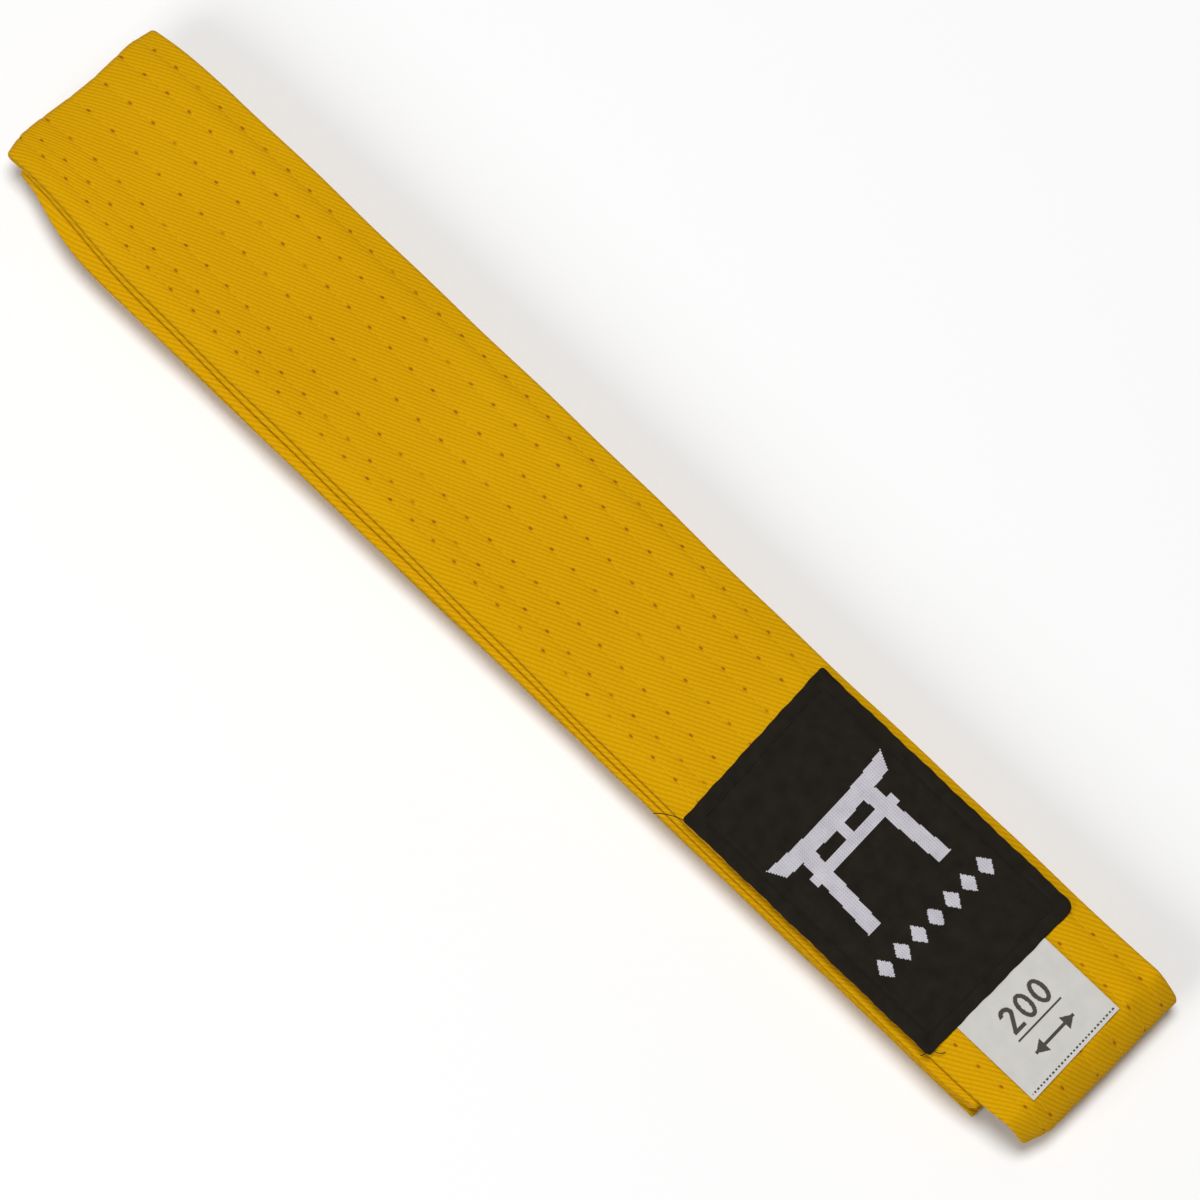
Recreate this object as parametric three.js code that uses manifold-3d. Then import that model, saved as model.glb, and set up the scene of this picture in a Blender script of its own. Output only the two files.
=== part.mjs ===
// A martial arts belt: a flat strap 2 m long, folded back and forth into eight plies that lie
// on each other. The strap is a twill cover, sewn by seven rows of stitches through a padding
// core. The top ply carries a woven label, a ring of stitches that holds it, and a size tag
// tucked under it. Past the tag the strap's end is rolled down and back under the top ply.
//
// Millimetres. +X runs along the bundle towards the rolled end, +Y across it, +Z up. The origin
// is below the middle of the bundle, on the surface that it lies on.

import * as THREE from 'three';
import * as BufferGeometryUtils from 'three/addons/utils/BufferGeometryUtils.js';
import Module from 'manifold-3d';

// The strap.
const strapWidth = 40;
const strapThickness = 1.55;
const coverThickness = 0.35;
const coreClearance = 0.08;
const seamDepth = 0.16;
const seamWidth = 1.2;
const edgeSlope = 0.54;
const edgeRound = 0.3;

// The places of the seven rows of stitches, as shares of the width from the -Y edge.
const seamShares = [0.1125, 0.1875, 0.3075, 0.4775, 0.6325, 0.7825, 0.9125];
const threadDiameter = 0.24;
const threadClearance = 0.04;
const threadSides = 6;

// The bundle.
const plyCount = 8;
const bundleLength = 267;
const plyGap = 0.2;
const leftFoldStep = 5;
const rightFoldRecess = 11.3;
const rightFoldStep = 0.5;
const plainEndRecess = 12.3;
const jointGap = 0.3;

// The rolled end.
const endRollRadius = 5;
const endRollAngle = Math.PI;
const endRollParts = 3;
const tipLength = 4;

// The label, its stitches and the size tag. The tag ends just before the strap begins to roll
// down, and the label ends where the visible part of the tag begins.
const labelLength = 64;
const labelWidth = 38.6;
const labelThickness = 0.6;
const labelShift = -0.6;
const labelCornerRadius = 0.8;
const labelSeat = 0.12;
const stitchInset = 2.8;
const stitchWidth = 0.5;
const stitchHeight = 0.3;
const stitchClearance = 0.03;
const stitchCornerRadius = 0.75;
const tagWidth = 23;
const tagThickness = 0.2;
const tagToRoll = 0.3;
const tagVisible = 18.4;
const tagTuck = 8;
const tagShift = -1;
const tagPocketClearance = 0.1;

// How finely bends and corners are drawn.
const foldSteps = 4;
const endRollSteps = 4;
const cornerSegments = 3;

const yellowTwill = { color: 0xdba400, roughness: 0.85, metalness: 0 };
const whiteCotton = { color: 0xe9e4d6, roughness: 0.95, metalness: 0 };
const yellowThread = { color: 0xd09a00, roughness: 0.7, metalness: 0 };
const blackDamask = { color: 0x1c1918, roughness: 0.6, metalness: 0 };
const blackThread = { color: 0x0f0e0e, roughness: 0.6, metalness: 0 };
const whiteSatin = { color: 0xd6d2cb, roughness: 0.45, metalness: 0 };

const halfWidth = strapWidth / 2;
const halfThickness = strapThickness / 2;
const plyPitch = strapThickness + plyGap;
const foldRadius = plyPitch / 2;
const foldReach = foldRadius + halfThickness;
const stackHeight = (plyCount - 1) * plyPitch + strapThickness;
const leftEnd = -bundleLength / 2;
const rightEnd = bundleLength / 2;

const belt = new THREE.Group();

// ---- The strap's route ----------------------------------------------------------------------

// A run of the strap's middle line in the XZ plane, straight or bent. `turn` is 1 where it bends
// anticlockwise as seen with +X to the right and +Z up, -1 where it bends clockwise.
function makeRun(start, length, radius = Infinity, turn = 0) {
  const { x, z, heading } = start;
  const at = (s) => {
    if (turn === 0) {
      return { x: x + s * Math.cos(heading), z: z + s * Math.sin(heading), heading };
    }
    const h = heading + (turn * s) / radius;
    return {
      x: x + turn * radius * (Math.sin(h) - Math.sin(heading)),
      z: z - turn * radius * (Math.cos(h) - Math.cos(heading)),
      heading: h,
    };
  };
  return { length, at, end: at(length) };
}

const plyMiddle = (ply) => halfThickness + (ply - 1) * plyPitch;
const runsRight = (ply) => (plyCount - ply) % 2 === 0;
const foldIsLeft = (lowerPly) => !runsRight(lowerPly);

// The x of the axis that the fold between two plies bends round. Upper folds reach further out.
function foldCentre(lowerPly) {
  const foldsAbove = Math.floor((plyCount - 1 - lowerPly) / 2);
  if (foldIsLeft(lowerPly)) {
    return leftEnd + foldReach + foldsAbove * leftFoldStep;
  }
  return rightEnd - rightFoldRecess - foldReach - foldsAbove * rightFoldStep;
}

const rollStart = rightEnd - endRollRadius - halfThickness;

function plyEnds(ply) {
  const start = ply === 1 ? rightEnd - plainEndRecess : foldCentre(ply - 1);
  const end = ply === plyCount ? rollStart : foldCentre(ply);
  return [start, end];
}

function plyRun(ply) {
  const [start, end] = plyEnds(ply);
  const heading = runsRight(ply) ? 0 : Math.PI;
  return makeRun({ x: start, z: plyMiddle(ply), heading }, Math.abs(end - start));
}

function foldRun(lowerPly) {
  const turn = foldIsLeft(lowerPly) ? -1 : 1;
  return makeRun(plyRun(lowerPly).end, Math.PI * foldRadius, foldRadius, turn);
}

function rollRuns() {
  const runs = [];
  let start = plyRun(plyCount).end;
  for (let part = 1; part <= endRollParts; part += 1) {
    const length = (endRollRadius * endRollAngle) / endRollParts;
    const run = makeRun(start, length, endRollRadius, -1);
    runs.push(run);
    start = run.end;
  }
  runs.push(makeRun(start, tipLength));
  return runs;
}

// ---- Sections of the strap, with x across it and y out of its face --------------------------

const seamPlaces = seamShares.map((share) => (share - 0.5) * strapWidth);

// The upper half of the cover's outline, from the -Y edge to the +Y edge: flat between the rows
// of stitches and dented along each row.
function quiltedSide() {
  const flatStart = halfWidth - edgeSlope;
  const shoulder = halfWidth - edgeSlope * edgeRound;
  const shoulderHeight = halfThickness * (1 - edgeRound);
  const points = [[-halfWidth, 0], [-shoulder, shoulderHeight], [-flatStart, halfThickness]];
  for (const place of seamPlaces) {
    points.push([place - seamWidth / 2, halfThickness]);
    points.push([place, halfThickness - seamDepth]);
    points.push([place + seamWidth / 2, halfThickness]);
  }
  points.push([flatStart, halfThickness], [shoulder, shoulderHeight], [halfWidth, 0]);
  return points;
}

function hollowOutline(gap) {
  const x = halfWidth - coverThickness - gap;
  const y = halfThickness - seamDepth - coverThickness - gap;
  return [[-x, 0], [-x + y, -y], [x - y, -y], [x, 0], [x - y, y], [-x + y, y]];
}

const vectors = (points) => points.map(([x, y]) => new THREE.Vector2(x, y));

function coverSection() {
  const face = quiltedSide();
  const back = quiltedSide().slice(1, -1).reverse();
  const outline = [...face, ...back.map(([x, y]) => [x, -y])];
  const shape = new THREE.Shape(vectors(outline));
  shape.holes.push(new THREE.Path(vectors(hollowOutline(0))));
  return shape;
}

const coreSection = () => new THREE.Shape(vectors(hollowOutline(coreClearance)));

// ---- Building -------------------------------------------------------------------------------

function addMesh(name, geometry, look) {
  const mesh = new THREE.Mesh(geometry, new THREE.MeshStandardMaterial(look));
  mesh.name = name;
  belt.add(mesh);
  return mesh;
}

// A section swept along a run, with half a joint gap left at each of its ends. The section's
// face side is on the left of the run's heading.
function strapPiece(name, section, run, steps, look) {
  const start = jointGap / 2;
  const depth = run.length - jointGap;
  const geometry = new THREE.ExtrudeGeometry(section, { depth, steps, bevelEnabled: false });
  const position = geometry.attributes.position;
  for (let i = 0; i < position.count; i += 1) {
    const across = position.getX(i);
    const out = position.getY(i);
    const place = run.at(start + position.getZ(i));
    const x = place.x - out * Math.sin(place.heading);
    const z = place.z + out * Math.cos(place.heading);
    position.setXYZ(i, x, across, z);
  }
  geometry.computeVertexNormals();
  addMesh(name, geometry, look);
}

function addStrap(suffix, run, steps) {
  strapPiece(`cover_${suffix}`, coverSection(), run, steps, yellowTwill);
  strapPiece(`core_${suffix}`, coreSection(), run, steps, whiteCotton);
}

function addPlies() {
  for (let ply = 1; ply <= plyCount; ply += 1) {
    addStrap(`ply_${ply}`, plyRun(ply), 1);
  }
}

function addFolds() {
  for (let ply = 1; ply < plyCount; ply += 1) {
    addStrap(`fold_${ply}_${ply + 1}`, foldRun(ply), foldSteps);
  }
}

function addRolledEnd() {
  const runs = rollRuns();
  const tip = runs.pop();
  runs.forEach((run, i) => addStrap(`end_roll_${i + 1}`, run, endRollSteps));
  addStrap('tip', tip, 1);
}

// One row of stitches on the top ply's face, lying in its dent.
function addSeamThreads() {
  const radius = threadDiameter / 2;
  const [start, end] = plyEnds(plyCount);
  seamPlaces.forEach((y, i) => {
    const length = end - start - 2 * jointGap;
    const geometry = new THREE.CylinderGeometry(radius, radius, length, threadSides);
    const mesh = addMesh(`seam_thread_${i + 1}`, geometry, yellowThread);
    mesh.rotation.z = Math.PI / 2;
    mesh.position.set((start + end) / 2, y, stackHeight - seamDepth + radius + threadClearance);
  });
}

function roundedRectangle(length, width, radius) {
  const x = length / 2;
  const y = width / 2;
  const shape = new THREE.Shape();
  shape.absarc(x - radius, -y + radius, radius, -Math.PI / 2, 0);
  shape.absarc(x - radius, y - radius, radius, 0, Math.PI / 2);
  shape.absarc(-x + radius, y - radius, radius, Math.PI / 2, Math.PI);
  shape.absarc(-x + radius, -y + radius, radius, Math.PI, 1.5 * Math.PI);
  return shape;
}

function slab(shape, thickness) {
  return new THREE.ExtrudeGeometry(shape, {
    depth: thickness,
    bevelEnabled: false,
    curveSegments: cornerSegments,
  });
}

const wasm = await Module();
wasm.setup();

function toSolid(geometry) {
  const bare = geometry.clone();
  bare.deleteAttribute('normal');
  bare.deleteAttribute('uv');
  const merged = BufferGeometryUtils.mergeVertices(bare);
  return new wasm.Manifold(new wasm.Mesh({
    numProp: 3,
    vertProperties: new Float32Array(merged.attributes.position.array),
    triVerts: new Uint32Array(merged.index.array),
  }));
}

function fromSolid(solid) {
  const mesh = solid.getMesh();
  const geometry = new THREE.BufferGeometry();
  geometry.setAttribute('position', new THREE.BufferAttribute(mesh.vertProperties, 3));
  geometry.setIndex(new THREE.BufferAttribute(mesh.triVerts, 1));
  geometry.computeVertexNormals();
  return geometry;
}

const tagEnd = rollStart - tagToRoll;
const tagLength = tagVisible + tagTuck;
const tagMiddle = tagEnd - tagLength / 2;
const labelEnd = tagEnd - tagVisible;
const labelMiddle = labelEnd - labelLength / 2;
const labelBottom = stackHeight + labelSeat;

// The label's underside has a shallow pocket where it lies over the tucked part of the tag.
function addLabel() {
  const outline = roundedRectangle(labelLength, labelWidth, labelCornerRadius);
  const sheet = slab(outline, labelThickness);
  sheet.translate(labelMiddle, labelShift, labelBottom);
  const pocket = new THREE.BoxGeometry(
    tagLength + 2 * tagPocketClearance,
    tagWidth + 2 * tagPocketClearance,
    2 * (tagThickness + tagPocketClearance),
  );
  pocket.translate(tagMiddle, tagShift, labelBottom);
  const solid = toSolid(sheet).subtract(toSolid(pocket));
  addMesh('label', fromSolid(solid), blackDamask);
}

function addLabelStitching() {
  const outer = stitchInset - stitchWidth / 2;
  const inner = stitchInset + stitchWidth / 2;
  const ring = roundedRectangle(
    labelLength - 2 * outer,
    labelWidth - 2 * outer,
    stitchCornerRadius + stitchWidth / 2,
  );
  const hole = roundedRectangle(
    labelLength - 2 * inner,
    labelWidth - 2 * inner,
    stitchCornerRadius - stitchWidth / 2,
  );
  ring.holes.push(new THREE.Path(hole.getPoints(cornerSegments)));
  const geometry = slab(ring, stitchHeight);
  geometry.translate(labelMiddle, labelShift, labelBottom + labelThickness + stitchClearance);
  addMesh('label_stitching', geometry, blackThread);
}

function addSizeTag() {
  const geometry = new THREE.BoxGeometry(tagLength, tagWidth, tagThickness);
  geometry.translate(tagMiddle, tagShift, labelBottom + tagThickness / 2);
  addMesh('size_tag', geometry, whiteSatin);
}

addPlies();
addFolds();
addRolledEnd();
addSeamThreads();
addLabel();
addLabelStitching();
addSizeTag();

export default belt;
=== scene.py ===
"""The looks of a martial arts belt, folded into a flat bundle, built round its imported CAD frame.

Metres. +X runs along the bundle towards the rolled end, +Y across the strap, +Z up out of the
labelled face. Everything on the strap is made in the strap's own coordinates: `s` along it from
the plain end, `y` across it and `out` from its middle, and is then laid along the folded route.
"""

import math

import bpy
import numpy as np
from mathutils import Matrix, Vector


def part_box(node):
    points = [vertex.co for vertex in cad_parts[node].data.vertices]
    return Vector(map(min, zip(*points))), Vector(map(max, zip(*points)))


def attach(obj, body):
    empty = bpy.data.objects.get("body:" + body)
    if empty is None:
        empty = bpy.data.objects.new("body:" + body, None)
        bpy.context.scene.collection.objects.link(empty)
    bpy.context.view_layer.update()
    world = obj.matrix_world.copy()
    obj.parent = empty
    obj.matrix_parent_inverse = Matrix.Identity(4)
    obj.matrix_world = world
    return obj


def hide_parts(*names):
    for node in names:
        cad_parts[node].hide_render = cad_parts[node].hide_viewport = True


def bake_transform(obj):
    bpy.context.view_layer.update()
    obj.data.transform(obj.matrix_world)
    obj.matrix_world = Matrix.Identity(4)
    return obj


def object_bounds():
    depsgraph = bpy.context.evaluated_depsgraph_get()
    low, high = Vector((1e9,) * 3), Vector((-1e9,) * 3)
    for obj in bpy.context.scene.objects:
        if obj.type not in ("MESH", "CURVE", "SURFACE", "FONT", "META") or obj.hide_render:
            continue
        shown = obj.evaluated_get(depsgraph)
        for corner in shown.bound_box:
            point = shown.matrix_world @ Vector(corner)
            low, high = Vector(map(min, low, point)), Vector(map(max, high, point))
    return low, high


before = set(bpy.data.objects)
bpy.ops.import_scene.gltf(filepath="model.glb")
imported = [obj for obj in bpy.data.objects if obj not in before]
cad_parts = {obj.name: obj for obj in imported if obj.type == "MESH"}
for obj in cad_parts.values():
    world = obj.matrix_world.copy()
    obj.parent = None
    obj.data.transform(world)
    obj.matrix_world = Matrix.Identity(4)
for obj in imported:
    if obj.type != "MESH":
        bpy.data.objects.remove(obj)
cad_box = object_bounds()

MM = 0.001

# ---- Sizes ------------------------------------------------------------------------------------

PLIES = 8
JOINT_GAP = 0.3 * MM  # the CAD leaves this between neighbouring pieces of the strap
COVER = 0.35 * MM
CORE_CLEARANCE = 0.08 * MM
CORE_THICKNESS = 0.37 * MM
SEAM_SHARES = (0.1125, 0.1875, 0.3075, 0.4775, 0.6325, 0.7825, 0.9125)
STITCH_PITCH = 5.8 * MM
SEAM_DEPTH = 0.12 * MM
PUFF = 0.03 * MM
THREAD = 0.17 * MM
CLOTH_STRETCH = 0.1  # how much the twill's slant varies along the strap
CLOTH_STRETCH_LENGTH = 0.33
CLOTH_STRETCH_START = 0.0325
ROW_WOBBLE = 0.28 * MM

TOP_PULL = 2.9 * MM
TOP_PULL_REACH = 22 * MM
TOP_SKEW = 2.2 * MM
FAR_CORNER_PULL = 0.2 * MM
CORNER_REACH = 6 * MM
LOWER_CORNER_PULL = 4.8 * MM
LOWER_REACH = 3.5 * MM
LOWER_CORNER_REACH = 11 * MM
CORNER_ROUND = 0.8 * MM
END_REACH = 0.2 * MM
END_WAVE = 0.4 * MM
NEAR_PRESS_LEFT = 0.12
NEAR_PRESS_RIGHT = 0.09
FAR_PRESS = 0.05
ROLL_PULL = 0.8 * MM
UNDER_PULL = 3.0 * MM
ROLL_PULL_START = 9 * MM
ROLL_PULL_LENGTH = 18 * MM
ROLL_ROUND = 1.7 * MM
ROLL_ROUND_REACH = 9 * MM
RIGHT_CORNER_PULL = 0.9 * MM

SAG_REACH = 15 * MM
SAG_FAR = 2.4 * MM
SAG_NEAR = 2.6 * MM
CREASE_X = 126.6 * MM
CREASE_PRESS = 0.2
PUCKER = 0.3 * MM
PUCKER_REACH = 3.2 * MM

LABEL_HEIGHT = 0.42 * MM
LABEL_GRID = 0.25 * MM
LABEL_INSET = 2.8 * MM
LABEL_STITCH = 3.8 * MM
TAG_GRID = 0.125 * MM
TAG_VISIBLE = 18.4 * MM

SHARP_ANGLE = 65

low_8, high_8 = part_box("cover_ply_8")
width = high_8.y - low_8.y
thick = high_8.z - low_8.z
half_w = width / 2
half_t = thick / 2
seam_ys = [(share - 0.5) * width for share in SEAM_SHARES]

random = np.random.default_rng(11)


# ---- The strap's route ------------------------------------------------------------------------


class Run:
    """A straight or bent stretch of the strap's middle line in the XZ plane. `turn` is 1 where it
    bends anticlockwise, with +X to the right and +Z up, and -1 where it bends clockwise."""

    def __init__(self, name, x, z, heading, length, turn=0, radius=1.0):
        self.name, self.x, self.z, self.heading = name, x, z, heading
        self.length, self.turn, self.radius = length, turn, radius
        self.start = 0.0

    def at(self, s):
        h = self.heading + self.turn * s / self.radius
        if self.turn == 0:
            x = self.x + s * math.cos(self.heading)
            z = self.z + s * math.sin(self.heading)
            return x, z, h + 0 * s
        x = self.x + self.turn * self.radius * (np.sin(h) - math.sin(self.heading))
        z = self.z - self.turn * self.radius * (np.cos(h) - math.cos(self.heading))
        return x, z, h


def strap_runs():
    """The plies, folds and rolled end in order from the plain end, read off the frame."""
    runs = []
    for ply in range(1, PLIES + 1):
        low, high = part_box(f"cover_ply_{ply}")
        left, right = low.x - JOINT_GAP / 2, high.x + JOINT_GAP / 2
        middle = (low.z + high.z) / 2
        goes_right = (PLIES - ply) % 2 == 0
        start, heading = (left, 0.0) if goes_right else (right, math.pi)
        end = right if goes_right else left
        runs.append(Run(f"ply_{ply}", start, middle, heading, right - left))
        if ply < PLIES:
            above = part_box(f"cover_ply_{ply + 1}")
            radius = ((above[0].z + above[1].z) / 2 - middle) / 2
            turn = 1 if goes_right else -1
            name = f"fold_{ply}_{ply + 1}"
            runs.append(Run(name, end, middle, heading, math.pi * radius, turn, radius))
    tip_low, tip_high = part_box("cover_tip")
    radius = (middle - (tip_low.z + tip_high.z) / 2) / 2
    third = math.pi * radius / 3
    for part in range(3):
        x, z, heading = runs[-1].at(runs[-1].length)
        runs.append(Run(f"end_roll_{part + 1}", x, z, float(heading), third, -1, radius))
    x, z, heading = runs[-1].at(runs[-1].length)
    length = tip_high.x - tip_low.x + JOINT_GAP
    runs.append(Run("tip", x, z, float(heading), length))
    total = 0.0
    for run in runs:
        run.start = total
        total += run.length
    return runs, total


runs, strap_length = strap_runs()
run_of = {run.name: run for run in runs}
top_run = run_of["ply_8"]
left_folds = [run_of[f"fold_{ply}_{ply + 1}"] for ply in range(1, PLIES, 2)]
right_folds = [run_of[f"fold_{ply}_{ply + 1}"] for ply in range(2, PLIES, 2)]


def smooth(t):
    t = np.clip(t, 0, 1)
    return t * t * (3 - 2 * t)


def wave(s, length, phase=0.0):
    return np.sin(2 * math.pi * (s / length + phase))


def drift(s):
    """How far the strap has slid sideways in the bundle: the lower plies towards the near side,
    each by its own amount, and the top one towards the far side, most near its left end."""
    knots = [0.0]
    values = [-0.2]
    for ply in range(2, PLIES + 1):
        run = run_of[f"ply_{ply}"]
        left_side = ply % 2 == 0
        knots.append(run.start)
        values.append((-0.3 if left_side else -0.15) * ply)
    run = run_of["ply_8"]
    values[-1] = 0.7
    knots += [run.start + share * run.length for share in (0.07, 0.35, 0.62, 0.76, 1.0)]
    values += [1.25, 1.1, 0.45, 0.3, 0.8]
    slide = np.interp(s, knots, values)
    return (slide + 0.1 * wave(s, 0.083) + 0.07 * wave(s, 0.031, 0.3)) * MM


def sag(x, y):
    """How far the free left ends of the upper plies hang down, a little more at the near
    corner."""
    left = cad_box[0].x
    end = np.clip((left + SAG_REACH - x) / SAG_REACH, 0, 1.2) ** 2.2
    near = smooth((-y - 0.004) / 0.016)
    return end * (SAG_FAR + (SAG_NEAR - SAG_FAR) * near)


def near_fold(s, fold, reach):
    """1 at the middle of a fold, falling off along the strap on both sides of it."""
    away = (s - fold.start - fold.length / 2) / reach
    return np.exp(-away * away)


def drawn_in(s, y):
    """How far the strap's edges are drawn in: at the corners of the folds, along the near side
    by the top fold, and towards the rolled end, which is tucked under a little askew."""
    to_roll = smooth((s - (top_run.start + top_run.length - ROLL_PULL_START)) / ROLL_PULL_LENGTH)
    near = ROLL_PULL * to_roll + TOP_PULL * near_fold(s, run_of["fold_7_8"], TOP_PULL_REACH)
    under = run_of["end_roll_2"].start
    near = near + UNDER_PULL * smooth((s - under) / (strap_length - under))
    far = 0.0
    for fold in left_folds:
        corner = near_fold(s, fold, CORNER_REACH)
        far = far + FAR_CORNER_PULL * corner
    for fold in left_folds[:-1]:
        near = near + LOWER_CORNER_PULL * near_fold(s, fold, LOWER_CORNER_REACH)
    for fold in right_folds:
        corner = near_fold(s, fold, CORNER_REACH)
        near = near + RIGHT_CORNER_PULL * corner
        far = far + RIGHT_CORNER_PULL * corner
    return near * smooth((-y - 0.004) / 0.016) - far * smooth((y - 0.008) / 0.012)


def reach_left(s, y):
    """How far to the left the ends of the bundle lie from their straight lines: the top left
    fold is askew and waved, the one below it reaches out to it, and every fold and the roll
    are rounded off at their corners."""
    at_top = near_fold(s, run_of["fold_7_8"], 2 * CORNER_REACH)
    below = near_fold(s, run_of["fold_5_6"], LOWER_CORNER_REACH)
    askew = END_REACH + TOP_SKEW * (half_w - y) / width + END_WAVE * wave(y, 0.031, 0.64)
    corner = smooth((np.abs(y) - 0.6 * half_w) / (0.4 * half_w)) ** 2
    left = sum(near_fold(s, fold, CORNER_REACH) for fold in left_folds)
    right = sum(near_fold(s, fold, CORNER_REACH) for fold in right_folds)
    roll = ROLL_ROUND * near_fold(s, run_of["end_roll_2"], ROLL_ROUND_REACH) * (y < 0)
    rounding = corner * (CORNER_ROUND * (right - left) + roll)
    return at_top * askew + LOWER_REACH * below + rounding


def settle(x, across):
    """The share of its height that the bundle loses where its edges are pressed thinner, and
    past the crease where the strap turns down to its rolled end."""
    left = np.clip((0.5 * cad_box[1].x - x) / (cad_box[1].x - cad_box[0].x), 0, 1)
    near = NEAR_PRESS_RIGHT + (NEAR_PRESS_LEFT - NEAR_PRESS_RIGHT) * left
    edges = near * smooth((-across - 0.0145) / 0.0055) + FAR_PRESS * smooth((across - 0.015) / 0.005)
    return edges + CREASE_PRESS * smooth((x - CREASE_X) / (cad_box[1].x - CREASE_X))


def pucker(x, across):
    """Small gathers across the strap where it turns down to its rolled end."""
    away = (x - CREASE_X - 1.2 * MM) / PUCKER_REACH
    far = 0.35 + 0.65 * smooth((across + 0.004) / 0.02)
    gathers = wave(across + 0.3 * x, 0.0083, 0.15) + 0.6 * wave(across - 0.5 * x, 0.0049)
    return PUCKER * far * gathers * np.exp(-away * away)


def lay(points):
    """Takes (s, y, out) points to where they lie in the folded bundle."""
    s, y, out = points.T
    x = np.zeros(len(s))
    z = np.zeros(len(s))
    heading = np.zeros(len(s))
    for i, run in enumerate(runs):
        first = -1.0 if i == 0 else run.start
        last = 1e9 if i == len(runs) - 1 else run.start + run.length
        inside = (s >= first) & (s < last)
        x[inside], z[inside], heading[inside] = run.at(s[inside] - run.start)
    x = x - out * np.sin(heading)
    z = z + out * np.cos(heading)
    x = x - reach_left(s, y)
    across = y + drift(s) + drawn_in(s, y)
    z = z * (1 - settle(x, across)) - sag(x, across) + pucker(x, across) * (z / cad_box[1].z)
    return np.column_stack([x, across, z])


# ---- The strap's surface ----------------------------------------------------------------------


def row_y(row, s):
    """Where a row of stitches runs, which wanders a little."""
    return seam_ys[row] + ROW_WOBBLE * (
        0.6 * wave(s, 0.137, 0.31 * row) + 0.4 * wave(s, 0.052, 0.73 * row)
    )


def stitch_place(row, s):
    """The distance along a row in stitches: a needle hole lies at each whole number."""
    return s / STITCH_PITCH + 0.377 * row + 0.06 * wave(s, 0.047, 0.2 * row)


def edge_profile(y):
    """1 over the flat of the strap, falling to 0 round its folded edges."""
    soft = 0.95 * half_t
    t = np.clip((np.abs(y) - (half_w - soft)) / soft, 0, 1)
    return np.sqrt(np.maximum(0, 1 - t * t))


def surface(s, y):
    """Half the strap's thickness at (s, y): puffed between the rows, drawn in along them and
    pinched at each needle hole."""
    bounds = np.array([-half_w] + seam_ys + [half_w])
    cell = np.clip(np.searchsorted(bounds, y) - 1, 0, len(bounds) - 2)
    share = (y - bounds[cell]) / (bounds[cell + 1] - bounds[cell])
    height = half_t - 0.05 * MM + PUFF * np.sin(math.pi * np.clip(share, 0, 1))
    for row in range(len(seam_ys)):
        across = (y - row_y(row, s)) / (0.62 * MM)
        place = stitch_place(row, s)
        along = (place - np.round(place)) * STITCH_PITCH
        hole = np.exp(-((along / (0.6 * MM)) ** 2))
        height -= SEAM_DEPTH * np.exp(-across * across) * (0.72 + 0.28 * hole)
        height -= 0.07 * MM * hole * np.exp(-((y - row_y(row, s)) / (0.3 * MM)) ** 2)
    height += 0.018 * MM * wave(s + 0.5 * y, 0.0113) * wave(y, 0.009, 0.2)
    height += 0.03 * MM * wave(s, 0.021, 0.1) * wave(y - 0.2 * s, 0.013)
    return height * edge_profile(y)


def across_samples():
    """The y values of a section's points, close together where the rows of stitches run."""
    offsets = np.array([-1.15, -0.75, -0.45, -0.2, 0, 0.2, 0.45, 0.75, 1.15]) * MM
    values = [y + d for y in seam_ys for d in offsets]
    ends = [-half_w + 1.0 * MM] + seam_ys + [half_w - 1.0 * MM]
    for a, b in zip(ends[:-1], ends[1:]):
        values += list(np.linspace(a, b, 6)[1:-1])
    angles = np.radians([0, 18, 36, 54, 72, 90])
    soft = 0.95 * half_t
    for angle in angles:
        values += [-half_w + soft * (1 - math.sin(angle)), half_w - soft * (1 - math.sin(angle))]
    values = np.sort(np.array(values))
    keep = [values[0]]
    for v in values[1:]:
        if v - keep[-1] > 0.015 * MM:
            keep.append(v)
    return np.array(keep)


section = across_samples()


def shell_points(stations, shrink):
    """Closed section rings at the given stations: over the face from -Y to +Y, then back."""
    face = section
    back = section[1:-1][::-1]
    s_face, y_face = np.meshgrid(stations, face, indexing="ij")
    s_back, y_back = np.meshgrid(stations, back, indexing="ij")
    up = surface(s_face, y_face)
    down = -surface(s_back + 0.5 * STITCH_PITCH, y_back)
    if shrink:
        inner = 0.21 * MM
        up = np.maximum(up - COVER, inner * edge_profile(y_face * 0.99))
        down = -np.maximum(-down - COVER, inner * edge_profile(y_back * 0.99))
        up[:, [0, -1]] = 0
        y_face = y_face * (1 - COVER / half_w)
        y_back = y_back * (1 - COVER / half_w)
    s = np.concatenate([s_face, s_back], axis=1)
    y = np.concatenate([y_face, y_back], axis=1)
    out = np.concatenate([up, down], axis=1)
    return np.stack([s, y, out], axis=2)


def grid_faces(rows, columns, first, inward=False, closed=True):
    """Quads between the rings of a tube."""
    row = np.arange(rows - 1)[:, None]
    column = np.arange(columns if closed else columns - 1)[None, :]
    after = (column + 1) % columns
    a = first + row * columns + column
    b = first + row * columns + after
    c = b + columns
    d = a + columns
    quads = np.stack([a, d, c, b] if not inward else [a, b, c, d], axis=2)
    return quads.reshape(-1, 4)


def pinch(points, stations, ends):
    """Flattens the shell towards a sewn end of the strap."""
    for end in ends:
        share = np.clip(np.abs(stations - end) / (2.2 * MM), 0, 1)
        points[:, :, 2] *= (0.62 + 0.38 * np.sqrt(share))[:, None]


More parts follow.
